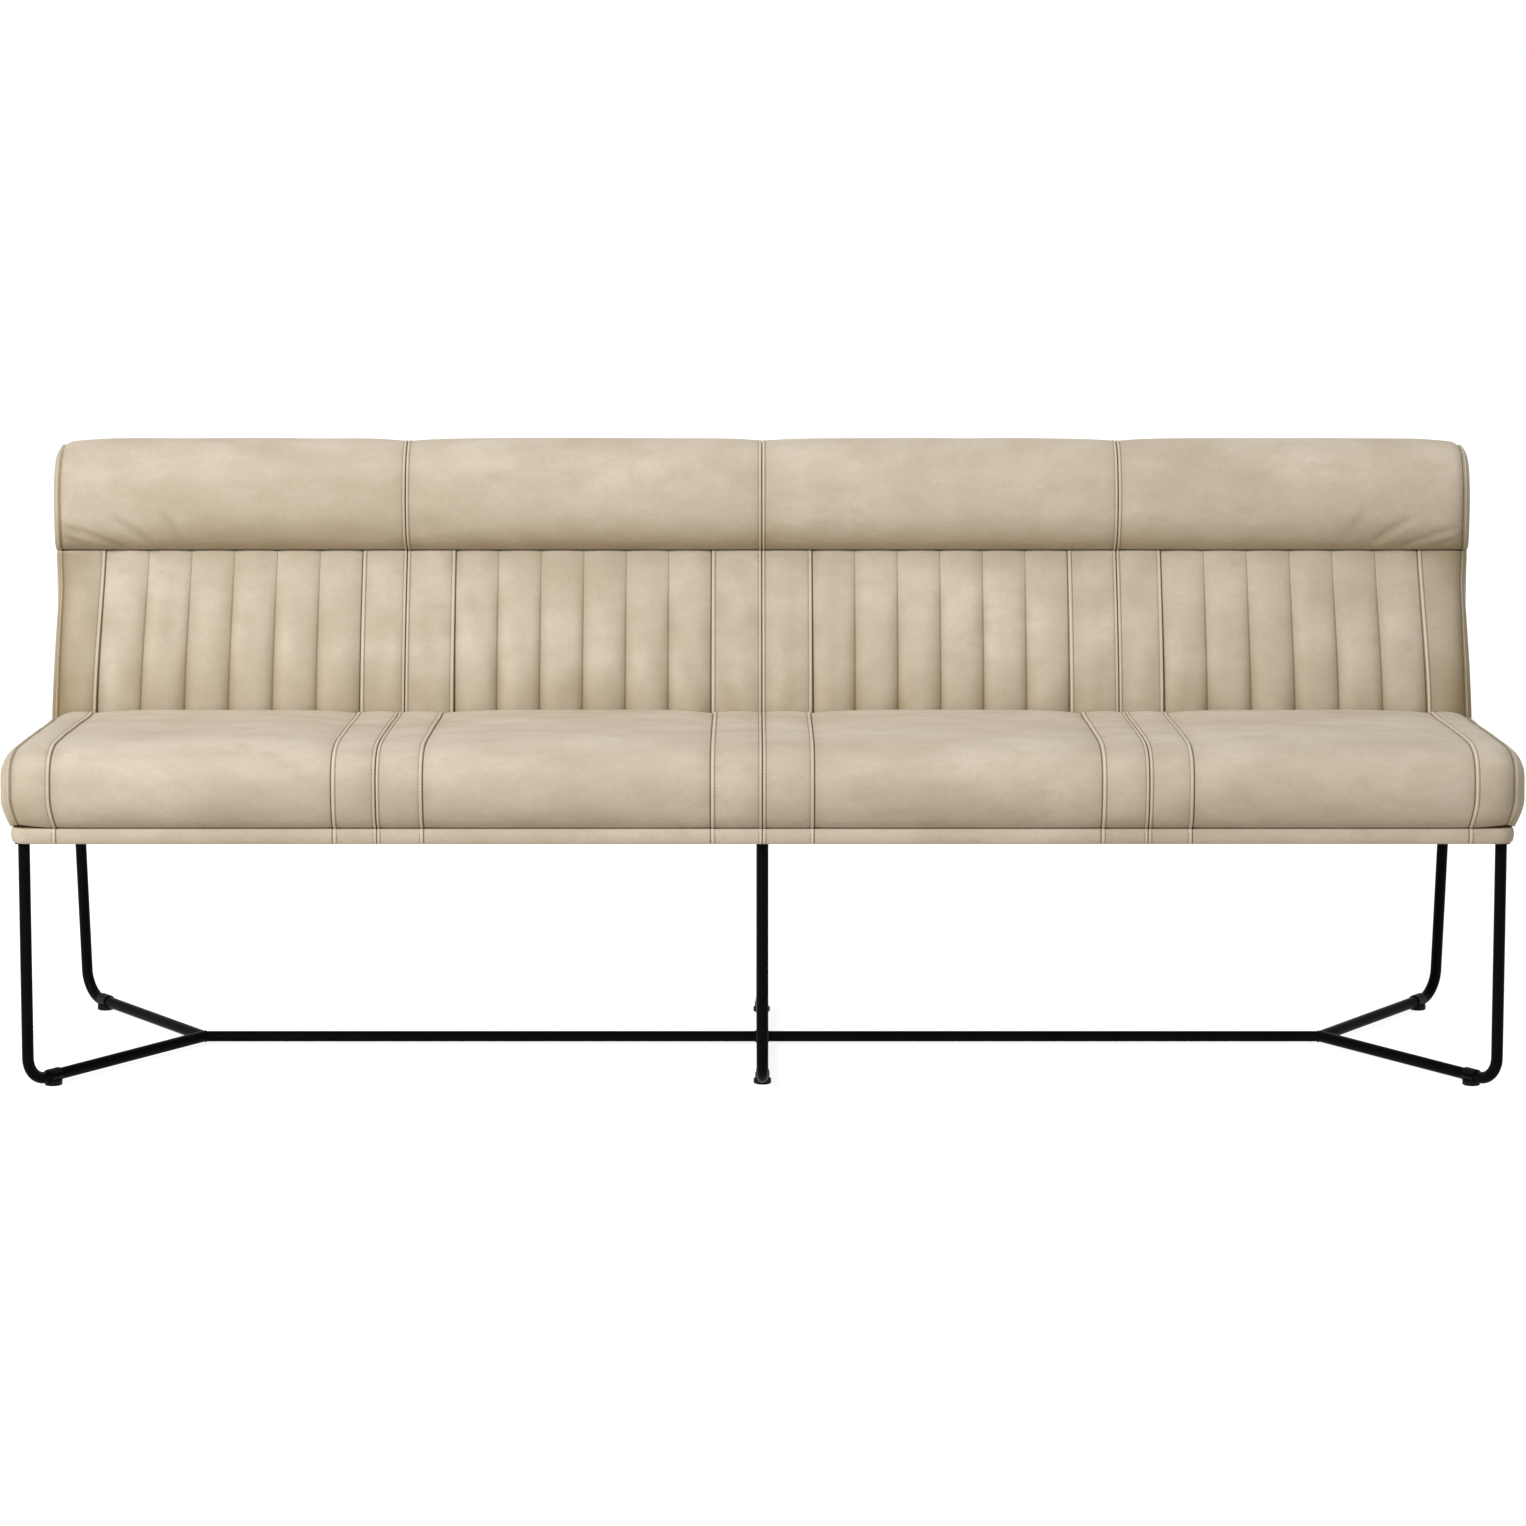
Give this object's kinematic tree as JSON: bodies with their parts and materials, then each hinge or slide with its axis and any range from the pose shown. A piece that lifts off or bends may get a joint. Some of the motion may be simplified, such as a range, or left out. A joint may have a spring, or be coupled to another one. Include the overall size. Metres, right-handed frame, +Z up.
{
  "type": "dining sofa",
  "caption": "Upholstered dining bench with a channelled back, padded head rolls and seat panels, on slim bent-tube leg frames.",
  "frame": {"origin": "centre of the sofa's footprint, on the floor", "axes": "+X along the sofa to the sitter's left, -Y the front, +Z up"},
  "size_m": [2.1996, 0.658, 0.9053],
  "materials": {
    "frame_steel": "satin black powder coat",
    "bolt_steel": "black oxide",
    "zinc_steel": "zinc plated",
    "glide_plastic": "matt black moulded plastic",
    "seat_leather": "matt sand leather, lightly mottled",
    "back_leather": "matt sand leather, lightly mottled",
    "border_leather": "matt sand leather, lightly mottled",
    "timber": "raw plywood and beech",
    "hardboard": "raw hardboard",
    "foam": "open-cell upholstery foam",
    "felt": "needled felt",
    "webbing": "elastic upholstery webbing",
    "dust_cloth": "non-woven black cloth"
  },
  "bodies": {
    "root": {"front_left_leg": "frame_steel", "rear_left_leg": "frame_steel", "front_right_leg": "frame_steel", "rear_right_leg": "frame_steel", "centre_leg": "frame_steel", "left_stretcher": "frame_steel", "right_stretcher": "frame_steel", "left_mounting_bar": "frame_steel", "centre_mounting_bar": "frame_steel", "right_mounting_bar": "frame_steel", "mounting_bolts": "bolt_steel", "threaded_inserts": "zinc_steel", "glide_front_left": "glide_plastic", "glide_rear_left": "glide_plastic", "glide_front_right": "glide_plastic", "glide_rear_right": "glide_plastic", "glide_front_centre": "glide_plastic", "glide_rear_centre": "glide_plastic", "seat_front_rail": "timber", "seat_rear_rail": "timber", "seat_left_rail": "timber", "seat_right_rail": "timber", "seat_cross_rails": "timber", "seat_webbing": "webbing", "seat_felt": "felt", "seat_foam": "foam", "seat_cover_1": "seat_leather", "seat_cover_2": "seat_leather", "seat_cover_3": "seat_leather", "seat_cover_4": "seat_leather", "front_border": "border_leather", "rear_border": "border_leather", "left_border": "border_leather", "right_border": "border_leather", "dust_cover": "dust_cloth", "back_left_post": "timber", "back_right_post": "timber", "back_inner_posts": "timber", "back_bottom_rail": "timber", "back_middle_rail": "timber", "back_top_rail": "timber", "back_webbing": "webbing", "lumbar_foam": "foam", "head_roll_foam": "foam", "back_cover_1": "back_leather", "back_cover_2": "back_leather", "back_cover_3": "back_leather", "back_cover_4": "back_leather", "head_roll_1": "back_leather", "head_roll_2": "back_leather", "head_roll_3": "back_leather", "head_roll_4": "back_leather", "back_board": "hardboard", "outer_back_cover": "back_leather", "back_brackets": "zinc_steel", "bracket_screws": "zinc_steel"}
  },
  "joints": []
}
